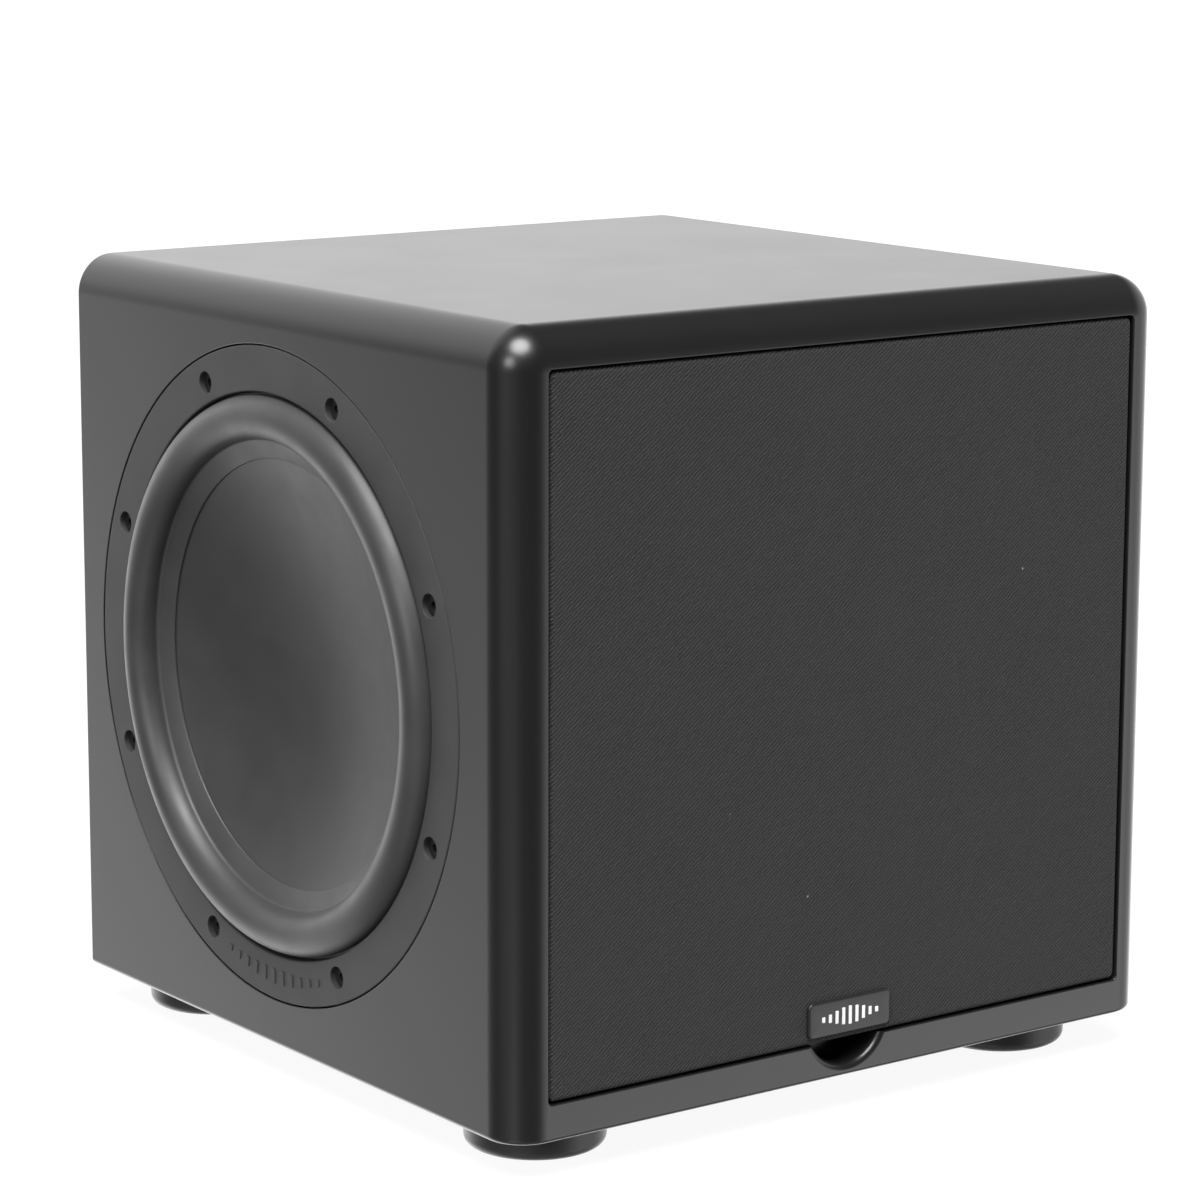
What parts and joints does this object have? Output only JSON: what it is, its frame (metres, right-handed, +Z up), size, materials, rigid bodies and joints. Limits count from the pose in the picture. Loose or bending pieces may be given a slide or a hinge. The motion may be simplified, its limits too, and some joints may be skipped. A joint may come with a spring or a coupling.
{
  "type": "powered subwoofer",
  "caption": "Cube-shaped powered subwoofer with rounded top and front edges, a cloth grille over a front woofer, a passive radiator in each side and a rear plate amplifier.",
  "frame": {"origin": "middle of the object's box in X and Y, on the floor under the feet", "axes": "+Z up, -Y is the front with the grille, +Y the back with the amplifier, +X the object's right side as seen from the front"},
  "size_m": [0.3366, 0.3344, 0.3245],
  "materials": {
    "cabinet_lacquer": "satin black lacquer with a very fine texture",
    "black_board": "fibreboard painted matt black",
    "back_lacquer": "matt black paint",
    "raw_board": "raw fibreboard",
    "foot_rubber": "hard black rubber",
    "zinc_steel": "bright zinc plate",
    "black_steel": "black zinc plate",
    "grille_fabric": "charcoal twill speaker cloth",
    "badge_plastic": "satin dark grey plastic",
    "badge_white": "white paint",
    "black_plastic": "moulded black plastic",
    "soft_rubber": "soft black rubber",
    "frame_coating": "satin black glass-filled plastic",
    "surround_rubber": "smooth black rubber",
    "cone_black": "satin black moulded cone",
    "spider_cloth": "resin-stiffened yellow cloth",
    "former_film": "amber film",
    "copper": "enamelled copper wire",
    "plated_steel": "dark plated steel",
    "ferrite": "sintered ferrite",
    "terminal_board": "brown laminate with tinned tags",
    "tinsel": "braided silver lead",
    "gasket_foam": "closed-cell foam",
    "amp_paint": "black powder coat, fine texture",
    "circuit_board": "green solder mask",
    "winding_tape": "yellow polyester tape",
    "capacitor_sleeve": "dark blue sleeve",
    "black_anodised": "black anodised",
    "knob_plastic": "black plastic with a white pointer",
    "lever_white": "white plastic",
    "gold_brass": "gold-plated brass",
    "rocker_plastic": "glossy black plastic",
    "led_lens": "tinted clear lens",
    "wire_sleeve": "red insulated wire"
  },
  "bodies": {
    "root": {"cabinet_shell": "cabinet_lacquer", "front_baffle": "black_board", "back_panel": "back_lacquer", "cabinet_brace": "raw_board", "foot_front_left": "foot_rubber", "foot_front_right": "foot_rubber", "foot_rear_left": "foot_rubber", "foot_rear_right": "foot_rubber", "foot_screws": "zinc_steel", "grille_sockets": "soft_rubber", "woofer_frame": "frame_coating", "woofer_surround": "surround_rubber", "woofer_spider": "spider_cloth", "top_plate": "plated_steel", "magnet": "ferrite", "yoke": "plated_steel", "woofer_terminals": "terminal_board", "tinsel_leads": "tinsel", "driver_screws": "black_steel", "driver_gaskets": "gasket_foam", "left_radiator_frame": "frame_coating", "left_radiator_surround": "surround_rubber", "left_radiator_spider": "spider_cloth", "right_radiator_frame": "frame_coating", "right_radiator_surround": "surround_rubber", "right_radiator_spider": "spider_cloth", "amp_plate": "amp_paint", "amp_gasket": "gasket_foam", "amp_board": "circuit_board", "transformer": "winding_tape", "capacitors": "capacitor_sleeve", "heatsink": "black_anodised", "control_bodies": "black_plastic", "line_jacks": "gold_brass", "power_inlet": "black_plastic", "rocker_bezel": "black_plastic", "amp_screws": "black_steel", "status_led": "led_lens", "woofer_wires": "wire_sleeve"},
    "woofer_cone_body": {"woofer_cone": "cone_black", "dust_cap": "cone_black", "coil_former": "former_film", "coil_winding": "copper"},
    "left_radiator_body": {"left_radiator_cone": "cone_black", "left_radiator_weight": "zinc_steel", "left_weight_bolt": "zinc_steel"},
    "right_radiator_body": {"right_radiator_cone": "cone_black", "right_radiator_weight": "zinc_steel", "right_weight_bolt": "zinc_steel"},
    "grille": {"grille_frame": "black_board", "grille_cloth": "grille_fabric", "grille_badge": "badge_plastic", "badge_mark": "badge_white", "grille_pins": "black_plastic"},
    "gain_knob_body": {"gain_knob": "knob_plastic"},
    "crossover_knob_body": {"crossover_knob": "knob_plastic"},
    "phase_slider_body": {"phase_slider": "lever_white"},
    "mode_slider_body": {"mode_slider": "lever_white"},
    "fuse_drawer_body": {"fuse_drawer": "black_plastic"},
    "power_rocker_body": {"power_rocker": "rocker_plastic"}
  },
  "joints": [
    {"name": "woofer_travel", "type": "slide", "parent": "root", "child": "woofer_cone_body", "axis": [0, 1, 0], "range_m": [-0.012, 0.012], "stiffness_N_per_m": 2000, "deforming": ["woofer_surround", "woofer_spider", "tinsel_leads"]},
    {"name": "left_radiator_travel", "type": "slide", "parent": "root", "child": "left_radiator_body", "axis": [-1, 0, 0], "range_m": [-0.015, 0.015], "stiffness_N_per_m": 1500, "deforming": ["left_radiator_surround", "left_radiator_spider"]},
    {"name": "right_radiator_travel", "type": "slide", "parent": "root", "child": "right_radiator_body", "axis": [1, 0, 0], "range_m": [-0.015, 0.015], "stiffness_N_per_m": 1500, "deforming": ["right_radiator_surround", "right_radiator_spider"]},
    {"name": "grille_pull", "type": "slide", "parent": "root", "child": "grille", "axis": [0, -1, 0], "range_m": [0, 0.06]},
    {"name": "gain_turn", "type": "hinge", "parent": "root", "child": "gain_knob_body", "pos_m": [0.066, 0.1527, 0.238], "axis": [0, -1, 0], "range_deg": [-150, 150]},
    {"name": "crossover_turn", "type": "hinge", "parent": "root", "child": "crossover_knob_body", "pos_m": [0.022, 0.1527, 0.238], "axis": [0, -1, 0], "range_deg": [-150, 150]},
    {"name": "phase_switch", "type": "slide", "parent": "root", "child": "phase_slider_body", "axis": [-1, 0, 0], "range_m": [0, 0.005]},
    {"name": "mode_switch", "type": "slide", "parent": "root", "child": "mode_slider_body", "axis": [-1, 0, 0], "range_m": [-0.003, 0.003]},
    {"name": "fuse_drawer_slide", "type": "slide", "parent": "root", "child": "fuse_drawer_body", "axis": [0, 1, 0], "range_m": [0, 0.016]},
    {"name": "power_switch", "type": "hinge", "parent": "root", "child": "power_rocker_body", "pos_m": [0.006, 0.1517, 0.108], "axis": [1, 0, 0], "range_deg": [0, 16]}
  ]
}
